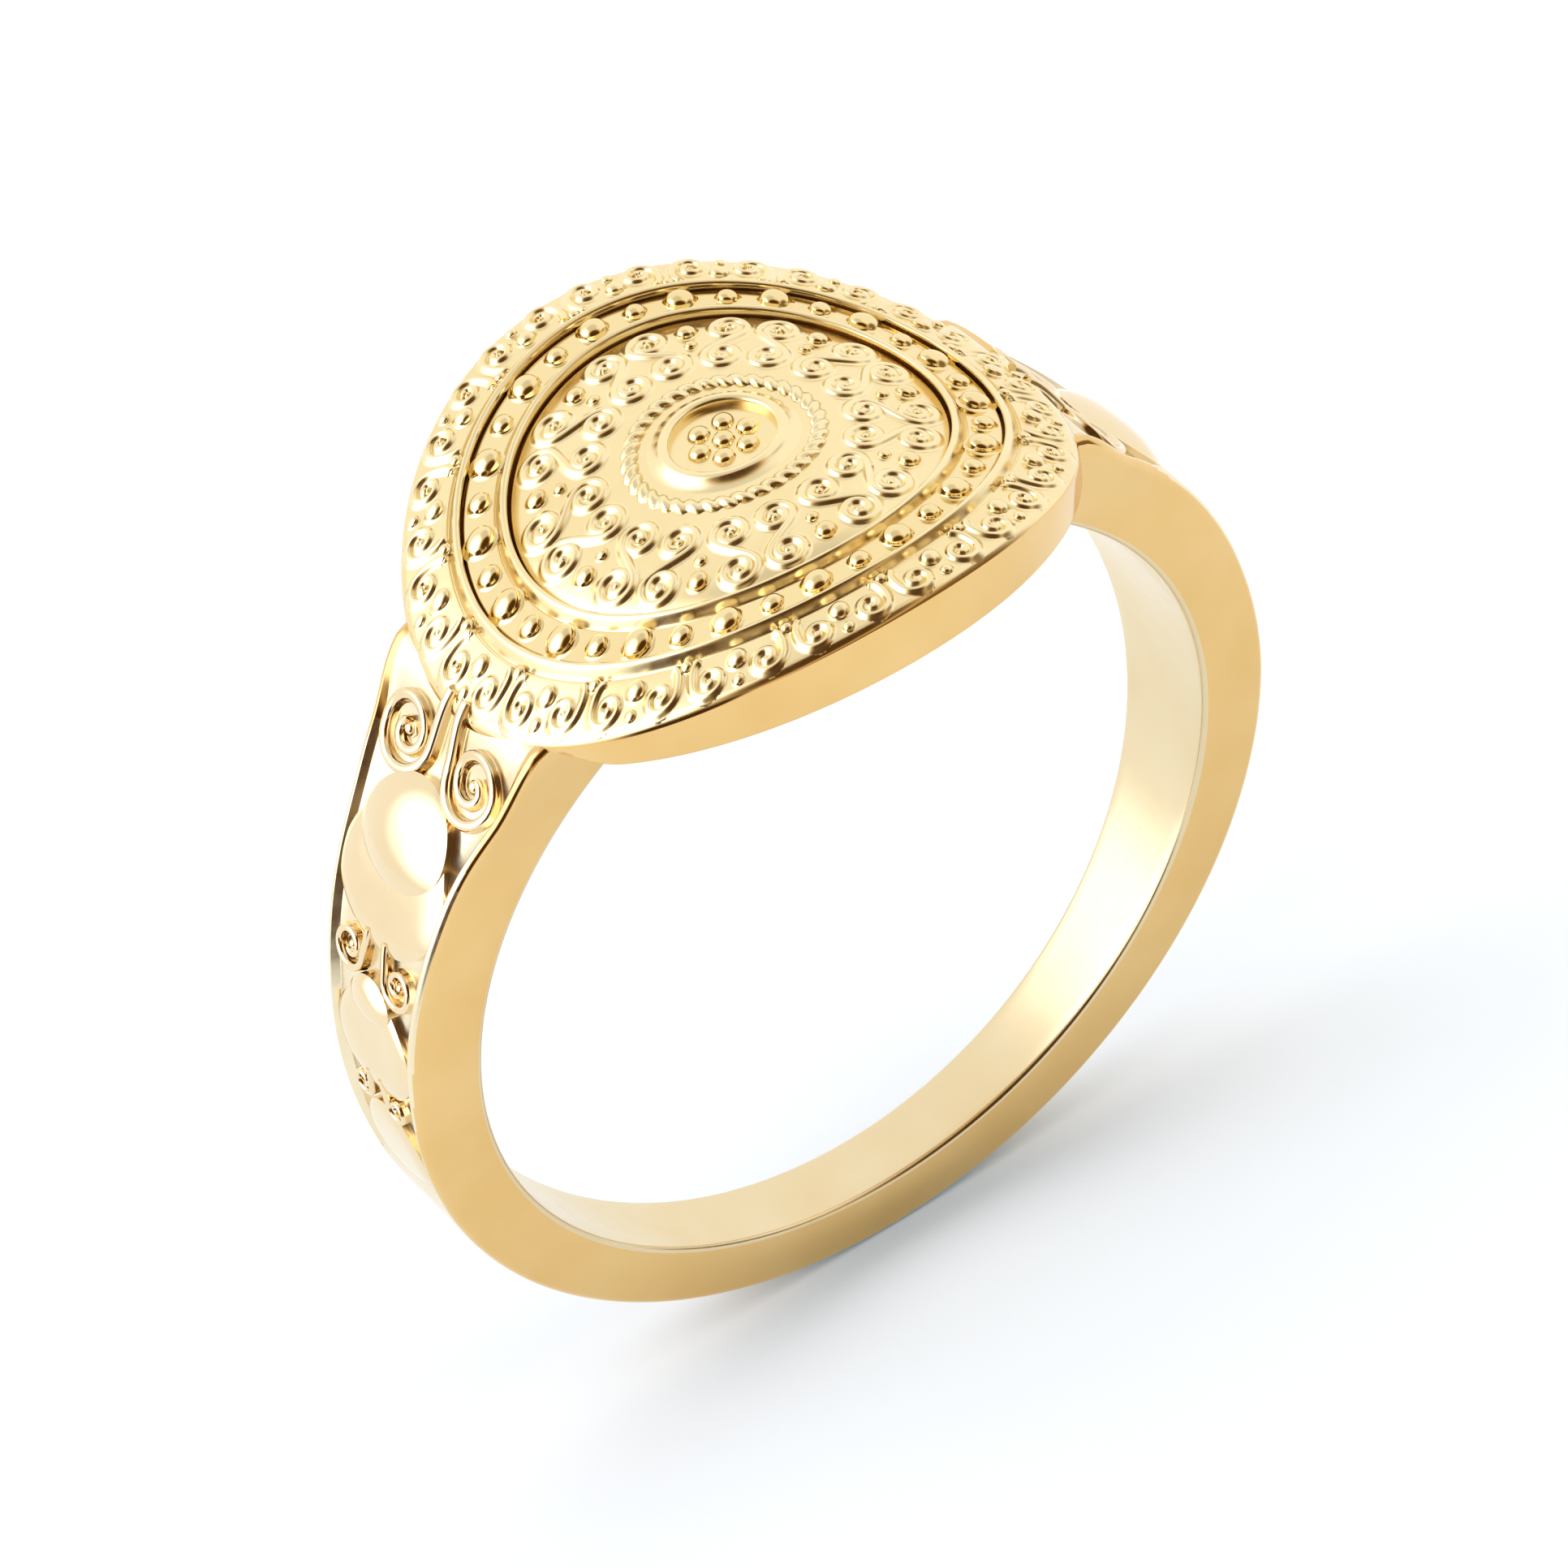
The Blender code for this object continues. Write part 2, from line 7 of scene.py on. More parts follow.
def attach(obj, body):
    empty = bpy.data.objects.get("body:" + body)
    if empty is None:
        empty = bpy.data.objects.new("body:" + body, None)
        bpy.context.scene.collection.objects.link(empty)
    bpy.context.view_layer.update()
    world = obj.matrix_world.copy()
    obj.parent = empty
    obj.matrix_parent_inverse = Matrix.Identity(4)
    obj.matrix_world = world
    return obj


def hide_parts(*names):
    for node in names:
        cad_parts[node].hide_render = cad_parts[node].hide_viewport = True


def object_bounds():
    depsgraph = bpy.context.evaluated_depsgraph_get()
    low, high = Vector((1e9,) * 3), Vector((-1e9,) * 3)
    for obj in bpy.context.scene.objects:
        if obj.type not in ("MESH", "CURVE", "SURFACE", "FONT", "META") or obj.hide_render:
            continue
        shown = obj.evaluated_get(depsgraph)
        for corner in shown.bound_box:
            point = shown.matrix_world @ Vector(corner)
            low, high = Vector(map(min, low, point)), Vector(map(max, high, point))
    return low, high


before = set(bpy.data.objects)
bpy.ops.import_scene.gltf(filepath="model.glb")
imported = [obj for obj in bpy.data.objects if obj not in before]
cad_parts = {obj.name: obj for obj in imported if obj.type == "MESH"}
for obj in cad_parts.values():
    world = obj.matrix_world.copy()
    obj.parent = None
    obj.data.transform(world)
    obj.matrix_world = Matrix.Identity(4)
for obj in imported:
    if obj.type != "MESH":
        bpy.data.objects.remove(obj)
cad_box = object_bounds()

# Sizes in millimetres. Pieces are drawn in millimetres and brought to metres last
MM = 0.001
BORE = 8.6
WIDTH_PALM, WIDTH_SIDE, WIDTH_TOP = 1.50, 2.82, 4.56
THICK_PALM, THICK_SIDE, THICK_SHOULDER = 1.36, 1.54, 1.72
RAIL = 0.19
PANEL_DEPTH = 0.18
STRETCH = 13.50 / 12.16
CROWN = 10.66
BELLY, BELLY_HEIGHT = 17.84, 9.20
FLOOR = 10.69
STEP_FLOOR = 10.73
EDGE, EDGE_ROUND, EDGE_FALL = 6.08, 0.14, 0.18
BORDER_START, BORDER_FALL = 5.2, 0.11
OUTER_RIM, INNER_RIM, RIM_HALF, RIM_RUN = 4.97, 4.07, 0.10, 0.13
GROOVE, GROOVE_DEPTH = 0.055, 0.10
CHANNEL = 4.52
ROPE = 1.70
BORDER_UNITS, CHANNEL_PAIRS, FIELD_UNITS, ROPE_NOTCHES = 18, 17, 9, 36
HEAD_END = asin(13.50 / 2 / (BORE + THICK_SHOULDER))
HEAD_LIP, LIP_END, LIP_RISE, HEAD_INSIDE = radians(37), radians(47), 0.30, 9.45
# The field's swell, the rims' crest above the field, their height of rounding and their outer grooves' depth
FIELD_SWELL, RIM_CREST, RIM_ROUND, OUTER_GROOVE = 0.18, 0.23, 0.10, 0.05
STRIP_INNER, STRIP_OUTER = 4.24, 4.80
ROPE_THICK, ROPE_TWIST, ROPE_CUT = 0.19, 2.3, 0.34
ROSETTE_BEAD, ROSETTE_RING = 0.42, 0.50


# One side of a wire's section, from its foot to its crest, in shares of its width and height
ROUND_WIRE = ((-0.85, -0.05), (-0.85, 0), (-0.66, 0.06), (-0.52, 0.26), (-0.40, 0.58),
              (-0.24, 0.86), (-0.08, 0.98))
FLAT_WIRE = ((-0.60, -0.05), (-0.60, 0), (-0.53, 0.10), (-0.49, 0.42), (-0.42, 0.76),
             (-0.28, 0.94), (-0.09, 1.0))


# The ring's own curves


def crown(x):
    """How far the medallion's top falls at a distance x from its middle."""
    return sqrt(CROWN**2 - x * x) - CROWN


def dome(reach):
    """How far the field swells above the plain crown, at a distance from the middle."""
    return FIELD_SWELL * (1 - min(reach / 4, 1) ** 4.5)


def edge_drop(reach):
    """How far the border's slope and the plate's rounded edge fall at a distance from the middle."""
    over = min(max((reach - EDGE + EDGE_ROUND) / EDGE_ROUND, 0), 1)
    return BORDER_FALL * max(reach - BORDER_START, 0) + EDGE_FALL * (1 - sqrt(1 - over * over))


def belly(x):
    """The height of the medallion's hollow underside."""
    return BELLY_HEIGHT + sqrt(BELLY**2 - x * x) - BELLY


def half_width(z):
    """Half the band's width at a height."""
    slope = (WIDTH_TOP - WIDTH_PALM) / (4 * BORE)
    bow = ((WIDTH_TOP + WIDTH_PALM) / 2 - WIDTH_SIDE) / (2 * BORE**2)
    return WIDTH_SIDE / 2 + slope * z + bow * z * z


def band_radius(angle):
    """The band's outer radius at an angle from the top."""
    rise, fall, end = THICK_SHOULDER - THICK_SIDE, THICK_SIDE - THICK_PALM, cos(HEAD_END)
    square = (rise - fall * end) / (end + end * end)
    return BORE + THICK_SIDE + (square + fall) * cos(angle) + square * cos(angle) ** 2


def shoulder_radius(angle):
    """The same, with the rise by which each shoulder meets the head, and the hidden part inside the head."""
    lip = band_radius(HEAD_LIP) + LIP_RISE
    if abs(angle) < HEAD_LIP:
        return HEAD_INSIDE + (lip - HEAD_INSIDE) * (abs(angle) / HEAD_LIP) ** 2.2
    return band_radius(angle) + LIP_RISE * (1 - smooth(HEAD_LIP, LIP_END, abs(angle)))


def panel_radius(angle):
    """The radius of the sunk panel's floor, which comes up level with the rails where it meets the head."""
    return shoulder_radius(angle) - PANEL_DEPTH * (0.15 + 0.85 * smooth(HEAD_LIP, radians(46), abs(angle)))


def panel_angle(down):
    """The angle from the top of a place so far down the shoulder."""
    return HEAD_END + down / (BORE + THICK_SIDE)


def smooth(low, high, value):
    """0 below low, 1 above high, and an easy curve between them."""
    share = min(max((value - low) / (high - low), 0), 1)
    return share * share * (3 - 2 * share)


# Ways of working


def only(piece):
    bpy.ops.object.select_all(action="DESELECT")
    piece.select_set(True)
    bpy.context.view_layer.objects.active = piece
    return piece


def turned(name, outline, steps):
    """Draws an outline of (radius, height) by extruding a point, and spins it about the Z axis."""
    bpy.ops.object.select_all(action="DESELECT")
    bpy.ops.mesh.primitive_plane_add(size=0.1)
    piece = bpy.context.object
    piece.name = name
    bpy.ops.object.mode_set(mode="EDIT")
    bpy.ops.mesh.merge(type="CENTER")
    bpy.ops.transform.translate(value=(0, -outline[0][0], outline[0][1]))
    for (radius, height), (next_radius, next_height) in zip(outline, outline[1:]):
        step = (0, radius - next_radius, next_height - height)
        bpy.ops.mesh.extrude_vertices_move(TRANSFORM_OT_translate={"value": step})
    bpy.ops.mesh.select_all(action="SELECT")
    bpy.ops.mesh.spin(steps=steps, angle=tau, center=(0, 0, 0), axis=(0, 0, 1))
    bpy.ops.mesh.select_all(action="SELECT")
    bpy.ops.mesh.remove_doubles(threshold=0.0005)
    bpy.ops.mesh.normals_make_consistent(inside=False)
    bpy.ops.object.mode_set(mode="OBJECT")
    return piece


def arc(centre, size, start, end, steps):
    """Points of a quarter round or part of one, in (radius, height), from one angle to another in degrees."""
    points = []
    for i in range(steps + 1):
        angle = radians(start + (end - start) * i / steps)
        points.append((centre[0] + size[0] * cos(angle), centre[1] + size[1] * sin(angle)))
    return points


def bead(name, diameter, place, steps=20):
    """A fused granule: a round dome with a small solder fillet round its foot, on a height above Z 0."""
    radius = diameter / 2
    outline = arc((0, radius * 0.16), (radius, radius * 0.80), 90, 6, 8)
    outline += [(radius * 1.04, radius * 0.14), (radius * 1.14, radius * 0.04), (radius * 1.3, 0)]
    outline += [(radius * 1.3, -0.05), (0, -0.05)]
    piece = turned(name, outline, steps)
    piece.data.transform(Matrix.Translation(place))
    return piece


def ridge(name, path, width, height, side=ROUND_WIRE, swell=None):
    """A wire laid along a flat path and fused down, with a fillet at each foot."""
    section = bpy.data.curves.new("wire section", "CURVE")
    section.dimensions = "2D"
    line = section.splines.new("POLY")
    outline = [(u * width, v * height) for u, v in side]
    outline += [(-u, v) for u, v in reversed(outline)]
    line.points.add(len(outline) - 1)
    for point, (u, v) in zip(line.points, outline):
        point.co = (u, v, 0, 1)
    line.use_cyclic_u = True
    mould = bpy.data.objects.new("wire section", section)
    curve = bpy.data.curves.new(name, "CURVE")
    curve.dimensions = "3D"
    curve.twist_mode = "Z_UP"
    curve.bevel_mode = "OBJECT"
    curve.bevel_object = mould
    curve.use_fill_caps = True
    spline = curve.splines.new("POLY")
    spline.points.add(len(path) - 1)
    for i, (point, place) in enumerate(zip(spline.points, path)):
        point.co = (place[0], place[1], 0, 1)
        point.radius = swell(i / (len(path) - 1)) if swell else 1
    piece = bpy.data.objects.new(name, curve)
    bpy.context.collection.objects.link(piece)
    bpy.context.collection.objects.link(mould)
    only(piece)
    bpy.ops.object.convert(target="MESH")
    bpy.data.objects.remove(mould)
    bpy.ops.object.mode_set(mode="EDIT")
    bpy.ops.mesh.select_all(action="SELECT")
    bpy.ops.mesh.normals_make_consistent(inside=False)
    bpy.ops.object.mode_set(mode="OBJECT")
    return piece


def copied(piece, name, turn=None):
    twin = piece.copy()
    twin.data = piece.data.copy()
    twin.name = name
    bpy.context.collection.objects.link(twin)
    if turn:
        twin.data.transform(turn)
    return twin


def mirrored(piece, name, axis):
    """A copy on the other side of a plane through the origin, with its faces turned out again."""
    twin = copied(piece, name, Matrix.Scale(-1, 4, axis))
    twin.data.flip_normals()
    return twin


def joined(name, pieces):
    bpy.ops.object.select_all(action="DESELECT")
    for piece in pieces:
        piece.select_set(True)
    bpy.context.view_layer.objects.active = pieces[0]
    bpy.ops.object.join()
    pieces[0].name = name
    return pieces[0]


def spiral(centre, outer, inner, start, turns, steps, power=1.25):
    """Points of a curl that winds in from its outer radius; angles in degrees, negative turns go clockwise."""
    path = []
    for i in range(steps + 1):
        share = i / steps
        radius = outer + (inner - outer) * share**power
        angle = radians(start) + tau * turns * share
        path.append((centre[0] + radius * cos(angle), centre[1] + radius * sin(angle)))
    return path


def bend(start, end, lean_start, lean_end, steps):
    """Points of an easy bend between two places, leaving and arriving along the two given leans."""
    path = []
    for i in range(1, steps):
        t = i / steps
        a, b, c, d = 2 * t**3 - 3 * t * t + 1, t**3 - 2 * t * t + t, -2 * t**3 + 3 * t * t, t**3 - t * t
        path.append(tuple(a * start[k] + b * lean_start[k] + c * end[k] + d * lean_end[k] for k in range(2)))
    return path


def crowned(piece):
    """Stretches a flat round piece to the oval and lays it over the medallion's crown."""
    for vertex in piece.data.vertices:
        vertex.co.z += dome(hypot(vertex.co.x, vertex.co.y))
        vertex.co.x *= STRETCH
        vertex.co.z += crown(vertex.co.x)
    return piece


def wrapped(piece, side):
    """Lays a flat piece, drawn as (across, down, height), round one shoulder on its panel's floor."""
    for vertex in piece.data.vertices:
        across, down, height = vertex.co
        angle = panel_angle(down)
        radius = panel_radius(angle) + height
        vertex.co = (side * radius * sin(angle), across, radius * cos(angle))
    only(piece)
    bpy.ops.object.mode_set(mode="EDIT")
    bpy.ops.mesh.select_all(action="SELECT")
    bpy.ops.mesh.normals_make_consistent(inside=False)
    bpy.ops.object.mode_set(mode="OBJECT")
    return piece


def done(piece, finish, slot, *nodes):
    """Brings a piece to metres, smooths it, gives it its finish and puts it in place of its CAD nodes."""
    piece.data.transform(Matrix.Scale(MM, 4))
    only(piece)
    bpy.ops.object.shade_smooth_by_angle(angle=radians(50))
    if not piece.data.materials:
        piece.data.materials.append(finish)
    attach(piece, "root")
    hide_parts(*nodes)


# Finishes


def linear(code):
    """An sRGB hex colour as linear red, green, blue and a full alpha."""
    parts = [int(code[i:i + 2], 16) / 255 for i in (1, 3, 5)]
    return [c / 12.92 if c <= 0.04045 else ((c + 0.055) / 1.055) ** 2.4 for c in parts] + [1]


def node(tree, kind, links=(), **settings):
    """Adds a node with its settings and joins (its socket, other node, other socket)."""
    made = tree.nodes.new(kind)
    for key, value in settings.items():
        if key in made.inputs:
            made.inputs[key].default_value = value
        else:
            setattr(made, key, value)
    for socket, other, output in links:
        tree.links.new(other.outputs[output], made.inputs[socket])
    return made


def gold(name, tone, deep, low, high, wave):
    """Cast and polished yellow gold. A polishing wheel leaves soft waves in it, fine haze, and a tone
    that is a little deeper where the wheel has not reached."""
    made = bpy.data.materials.new(name)
    made.use_nodes = True
    tree = made.node_tree
    shader = tree.nodes["Principled BSDF"]
    shader.inputs["Metallic"].default_value = 1
    place = node(tree, "ShaderNodeTexCoord")
    # Waves about 0.7 mm long, haze about 0.25 mm across and tone patches about 2 mm across
    waves = node(tree, "ShaderNodeTexNoise", [("Vector", place, "Object")], Scale=1 / (0.7 * MM), Detail=1.0)
    haze = node(tree, "ShaderNodeTexNoise", [("Vector", place, "Object")], Scale=1 / (0.25 * MM), Detail=3.0)
    patches = node(tree, "ShaderNodeTexNoise", [("Vector", place, "Object")], Scale=1 / (2 * MM), Detail=2.0)
    bump = node(tree, "ShaderNodeBump", [("Height", waves, "Fac")], Strength=wave, Distance=0.02 * MM)
    polish = node(tree, "ShaderNodeMapRange", [("Value", haze, "Fac")], **{
        "From Min": 0.3, "From Max": 0.7, "To Min": low, "To Max": high})
    ramp = node(tree, "ShaderNodeValToRGB", [("Fac", patches, "Fac")])
    ramp.color_ramp.elements[0].position = 0.3
    ramp.color_ramp.elements[0].color = linear(deep)
    ramp.color_ramp.elements[1].position = 0.7
    ramp.color_ramp.elements[1].color = linear(tone)
    tree.links.new(ramp.outputs["Color"], shader.inputs["Base Color"])
    tree.links.new(polish.outputs["Result"], shader.inputs["Roughness"])
    tree.links.new(bump.outputs["Normal"], shader.inputs["Normal"])
    return made


band_gold = gold("polished_yellow_gold", "#E9C484", "#E4BC78", 0.05, 0.11, 0.15)
# The ring is one casting: the bore, head floor, wires, granules and petals get paler tones than the band as painted
# light for the brighter, washed-out light they catch
bore_gold = gold("satin_gold_bore", "#E6D3AC", "#E2CCA0", 0.20, 0.24, 0.03)
floor_gold = gold("satin_yellow_gold", "#F4E0AE", "#EFD8A2", 0.16, 0.24, 0.20)
wire_gold = gold("drawn_gold_wire", "#F7E5B6", "#F2DDAA", 0.19, 0.27, 0.12)
granule_gold = gold("fused_gold_granules", "#F2DDA8", "#EDD59C", 0.07, 0.13, 0.08)
petal_gold = gold("burnished_gold_petals", "#EEDAB4", "#EAD4AA", 0.06, 0.12, 0.15)
# Painted shade: a dull dark tone in the narrow grooves beside the rims stands in for the shade in those crevices
groove_painted_shade = gold("painted_shade_in_the_grooves", "#8A6030", "#6A4820", 0.30, 0.45, 0.30)
# The sunk panels are left frosted and rougher than the polished rails; their paler tone is a painted highlight for
# the near-white light they catch
panel_gold_painted_highlight = gold("frosted_gold_panels_painted_highlight", "#F0E2C2", "#EBDAB4", 0.18, 0.26, 0.15)


# The head


def make_plate():
    """The crowned oval plate: a sunk field, a raised border floor, a rounded shoulder and a plain wall."""
    outline = [(0.35 * i, FLOOR) for i in range(11)]
    for radius, inside, outside in ((INNER_RIM, FLOOR, STEP_FLOOR), (OUTER_RIM, STEP_FLOOR, STEP_FLOOR)):
        near, far = radius - RIM_HALF, radius + RIM_RUN
        outline += [(near - GROOVE - 0.02, inside), (near - GROOVE, inside - 0.015)]
        outline += [(near - GROOVE / 3, inside - GROOVE_DEPTH), (near + 0.02, inside - GROOVE_DEPTH)]
        outline += [(far - 0.02, outside - OUTER_GROOVE), (far + 0.02, outside - OUTER_GROOVE)]
        outline.append((far + 0.05, outside))
    border = [(BORDER_START, 0), (5.5, 0), (5.75, 0)]
    border += [(radius, 0) for radius, height in arc((EDGE - EDGE_ROUND, 0), (EDGE_ROUND, 0), 90, 0, 12)]
    outline += [(radius, STEP_FLOOR - edge_drop(radius)) for radius, height in border]
    outline += [(radius, height - 9) for radius, height in arc((EDGE - 0.1, 9.1), (0.1, 0.1), 0, -90, 5)]
    outline += [(4.5, 0), (3.0, 0), (1.5, 0), (0, 0)]
    plate = turned("crowned_plate", outline, 256)
    for vertex in plate.data.vertices:
        rise = dome(hypot(vertex.co.x, vertex.co.y))
        vertex.co.x *= STRETCH
        if vertex.co.z > 5:
            vertex.co.z += crown(vertex.co.x) + rise
            continue
        vertex.co.z += belly(vertex.co.x)
        # The wall runs out to nothing where the band's side comes up to the head
        if hypot(vertex.co.x / STRETCH, vertex.co.y) > 5:
            thin = STEP_FLOOR - EDGE_FALL - 0.08 + crown(vertex.co.x) - vertex.co.z
            vertex.co.z += thin * (1 - smooth(2.2, 3.7, abs(vertex.co.y)))
    for finish in (band_gold, floor_gold, groove_painted_shade):
        plate.data.materials.append(finish)
    # The field and border floor take the paler head tone, painted light for the brighter light on the head
    for face in plate.data.polygons:
        middle = face.center
        reach = hypot(middle.x / STRETCH, middle.y)
        height = middle.z - crown(middle.x) - dome(reach)
        if reach < EDGE - 0.02 and height > 10.3:
            # Faces low in the grooves beside the rims take the painted groove shade
            beside = reach < INNER_RIM or CHANNEL < reach < OUTER_RIM
            groove = beside and height < (FLOOR if reach < INNER_RIM else STEP_FLOOR) - 0.03
            face.material_index = 2 if groove else 1
    done(plate, band_gold, "head", "medallion_base")


def make_rim(name, radius, node_name):
    """A plain rim wire: a steep inner side that stands in its groove, a rounded crest and an outer side
    that runs down into a shallow groove."""
    low, crest = FLOOR - GROOVE_DEPTH, FLOOR + RIM_CREST
    outline = [(radius - RIM_HALF, low)]
    outline += arc((radius, crest - RIM_ROUND), (RIM_HALF, RIM_ROUND), 180, 90, 7)
    for i in range(1, 9):
        share = smooth(0, 8, i)
        outline.append((radius + RIM_RUN * i / 8, crest + (STEP_FLOOR - OUTER_GROOVE - crest) * share))
    outline += [(radius + RIM_RUN, low), (radius - RIM_HALF, low)]
    done(crowned(turned(name, outline, 256)), wire_gold, "wire", node_name)


def make_bead_channel():
    """Alternating large and small beads on a narrow strip."""
    under, above = STEP_FLOOR - 0.03, STEP_FLOOR + 0.005
    strip = turned("bead_channel_strip", [
        (STRIP_INNER, under), (STRIP_INNER, above), (STRIP_OUTER, above), (STRIP_OUTER, under),
        (STRIP_INNER, under)], 256)
    large = bead("large_bead", 0.54, (CHANNEL, 0, STEP_FLOOR))
    small = bead("small_bead", 0.40, (CHANNEL, 0, STEP_FLOOR))
    pieces = [strip]
    for i in range(CHANNEL_PAIRS):
        turn = pi / 2 + tau * i / CHANNEL_PAIRS
        pieces.append(copied(large, "bead", Matrix.Rotation(turn, 4, "Z")))
        pieces.append(copied(small, "bead", Matrix.Rotation(turn + pi / CHANNEL_PAIRS, 4, "Z")))
    bpy.data.objects.remove(large)
    bpy.data.objects.remove(small)
    done(crowned(joined("bead_channel", pieces)), granule_gold, "granule", "bead_strip")


def make_border():
    """Paired C-scrolls with a bead between them, a drop outside and a leaf between pairs."""
    middle, start = (0.52, 5.63), (0.70, 5.16)
    curl = spiral(middle, 0.33, 0.05, -15, 1.45, 36, 0.9)
    tail = [start] + bend(start, curl[0], (0.30, 0.15), (0, 0.40), 6)
    scroll = ridge("border_scroll", tail + curl, 0.15, 0.10)
    eye = bead("border_eye", 0.13, (*middle, 0), 12)
    foot = bead("border_foot", 0.13, (*start, 0), 12)
    half = joined("border_half", [scroll, eye, foot])
    pearl = bead("border_pearl", 0.36, (0, 5.42, 0), 18)
    drop = bead("border_drop", 0.22, (0, 5.84, 0), 14)
    leaf = bead("border_leaf", 0.22, (5.21 * sin(pi / BORDER_UNITS), 5.21 * cos(pi / BORDER_UNITS), 0), 12)
    unit = joined("border_unit", [half, mirrored(half, "border_half", (1, 0, 0)), pearl, drop, leaf])
    unit.data.transform(Matrix.Translation((0, 0, STEP_FLOOR)))
    pieces = []
    for i in range(BORDER_UNITS):
        pieces.append(copied(unit, "border", Matrix.Rotation(tau * i / BORDER_UNITS - pi / 2, 4, "Z")))
    bpy.data.objects.remove(unit)
    border = joined("border_work", pieces)
    for vertex in border.data.vertices:
        vertex.co.z -= edge_drop(hypot(vertex.co.x, vertex.co.y))
    done(crowned(border), wire_gold, "wire", "border_ring")


def make_field():
    """Nine mirrored pairs of S-scrolls, with a large and a small granule between pairs."""
    upper, lower = (0.45, 3.39), (0.41, 2.485)
    outer = spiral(upper, 0.345, 0.06, 180, -1.5, 42, 1.6)
    inner = spiral(lower, 0.325, 0.06, 0, -1.5, 42, 1.6)
    waist = bend(outer[0], inner[0], (0, -0.9), (0, -0.9), 9)
    path = outer[::-1] + waist + inner
    wire = ridge(
        "field_wire", path, 0.17, 0.095, swell=lambda t: 0.8 + 0.2 * smooth(0, 0.12, min(t, 1 - t)))
    eyes = [bead("field_eye", 0.15, (*place, 0), 12) for place in (upper, lower)]
    scroll = joined("field_scroll", [wire, *eyes])
    scroll.data.transform(Matrix.Translation((0, 0, FLOOR)))
    other = mirrored(scroll, "field_scroll_other", (1, 0, 0))
    grains = [bead("grain", 0.37, (0, 3.43, FLOOR)), bead("grain", 0.23, (0, 2.98, FLOOR), 14)]
    pair = joined("field_grains", grains)
    for i in range(FIELD_UNITS):
        turn = tau * i / FIELD_UNITS
        for letter, shape in (("a", scroll), ("b", other)):
            piece = copied(shape, f"scroll_{letter}{i + 1}", Matrix.Rotation(turn, 4, "Z"))
            done(crowned(piece), wire_gold, "wire", f"field_scroll_{letter}{i + 1}")
        piece = copied(pair, f"grains_{i + 1}", Matrix.Rotation(turn + pi / FIELD_UNITS, 4, "Z"))
        done(crowned(piece), granule_gold, "granule", f"field_granules_{i + 1}")
    for start in (scroll, other, pair):
        bpy.data.objects.remove(start)


def make_centre():
    """The milled rope ring, the dished cup and its seven beads."""
    bpy.ops.object.select_all(action="DESELECT")
    bpy.ops.mesh.primitive_torus_add(
        major_radius=ROPE, minor_radius=ROPE_THICK, major_segments=ROPE_NOTCHES * 14, minor_segments=20)
    rope = bpy.context.object
    rope.name = "milled_rope"
    for vertex in rope.data.vertices:
        turn = atan2(vertex.co.y, vertex.co.x)
        around = atan2(vertex.co.z, hypot(vertex.co.x, vertex.co.y) - ROPE)
        notch = (0.5 + 0.5 * cos(ROPE_NOTCHES * turn + ROPE_TWIST * around)) ** 2
        size = ROPE_THICK * (1 - ROPE_CUT * notch)
        reach = ROPE + size * cos(around)
        vertex.co = (reach * cos(turn), reach * sin(turn), FLOOR - 0.07 + size * sin(around))
    done(crowned(rope), wire_gold, "wire", "rope_ring")
    dish = FLOOR - 0.04
    outline = [(0, dish), (0.70, dish), (0.86, dish)]
    outline += [(0.90, dish - 0.09), (0.94, dish - 0.09), (0.965, dish + 0.10)]
    outline += arc((1.08, FLOOR + 0.10), (0.11, 0.09), 180, 20, 9)
    outline += [(1.22, FLOOR + 0.09), (1.30, FLOOR + 0.03), (1.38, FLOOR), (1.46, FLOOR - 0.01)]
    outline += [(1.46, FLOOR - 0.12), (0, FLOOR - 0.12)]
    done(crowned(turned("dished_cup", outline, 128)), wire_gold, "head", "centre_cup")
    pieces = [bead("rosette_bead", ROSETTE_BEAD, (0, 0, dish))]
    for i in range(6):
        angle = tau * i / 6
        place = (ROSETTE_RING * cos(angle), ROSETTE_RING * sin(angle), dish)
        pieces.append(bead("rosette_bead", ROSETTE_BEAD, place))
    done(crowned(joined("rosette", pieces)), granule_gold, "granule", "centre_rosette")


# The band


